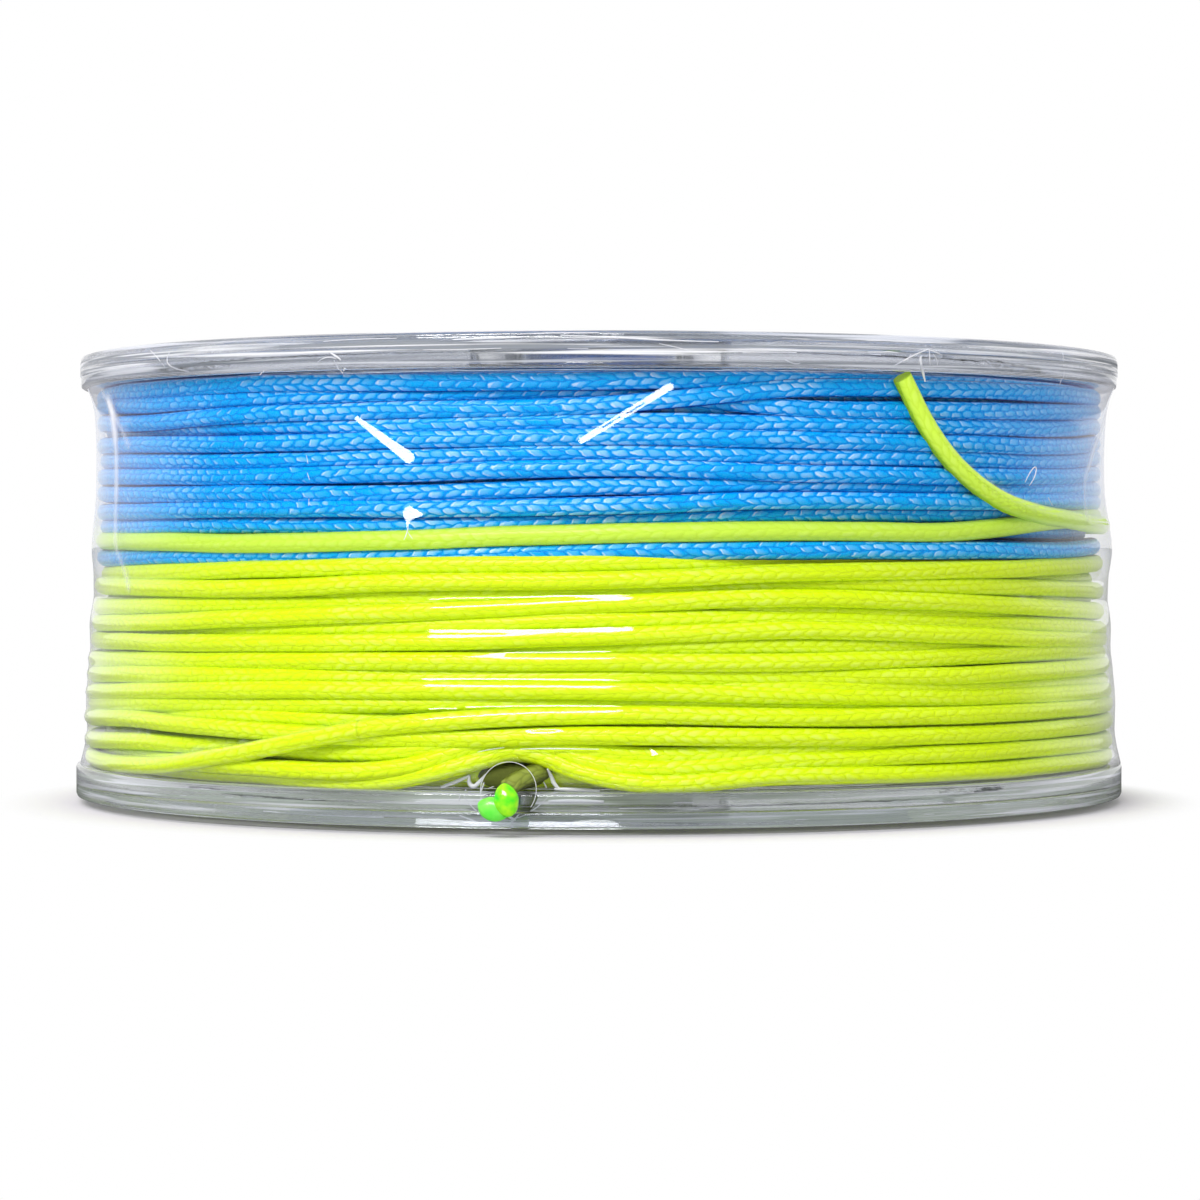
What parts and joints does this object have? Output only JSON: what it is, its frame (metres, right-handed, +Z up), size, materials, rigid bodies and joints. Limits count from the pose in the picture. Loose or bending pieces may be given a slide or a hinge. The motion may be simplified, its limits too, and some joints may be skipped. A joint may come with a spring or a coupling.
{
  "type": "fishing line spool",
  "caption": "Clear flanged spool on a spindle bore, wound with thick braided line in two colour zones, its loose end held under a band of shrink film.",
  "frame": {"origin": "on the spindle axis, in the plane that the lower stacking ring stands on", "axes": "+Z up along the spindle axis, -Y towards the front, where the line's knotted inner end comes out, +X to the right of it"},
  "size_m": [0.1002, 0.1015, 0.0427],
  "materials": {
    "clear_plastic": "clear moulded polystyrene, polished",
    "blue_line": "waxed eight-strand braid",
    "yellow_line": "waxed eight-strand braid, fluorescent yellow",
    "melted_line": "melted and set, glossy",
    "shrink_film": "clear shrink film"
  },
  "bodies": {
    "root": {"lower_spool_half": "clear_plastic", "upper_spool_half": "clear_plastic", "blue_line_bed": "blue_line", "yellow_line_bed": "yellow_line", "blue_line_turns": "blue_line", "yellow_line_turns": "yellow_line", "last_turn": "yellow_line", "start_tail": "yellow_line", "anchor_knot": "melted_line", "shrink_band": "shrink_film"}
  },
  "joints": []
}
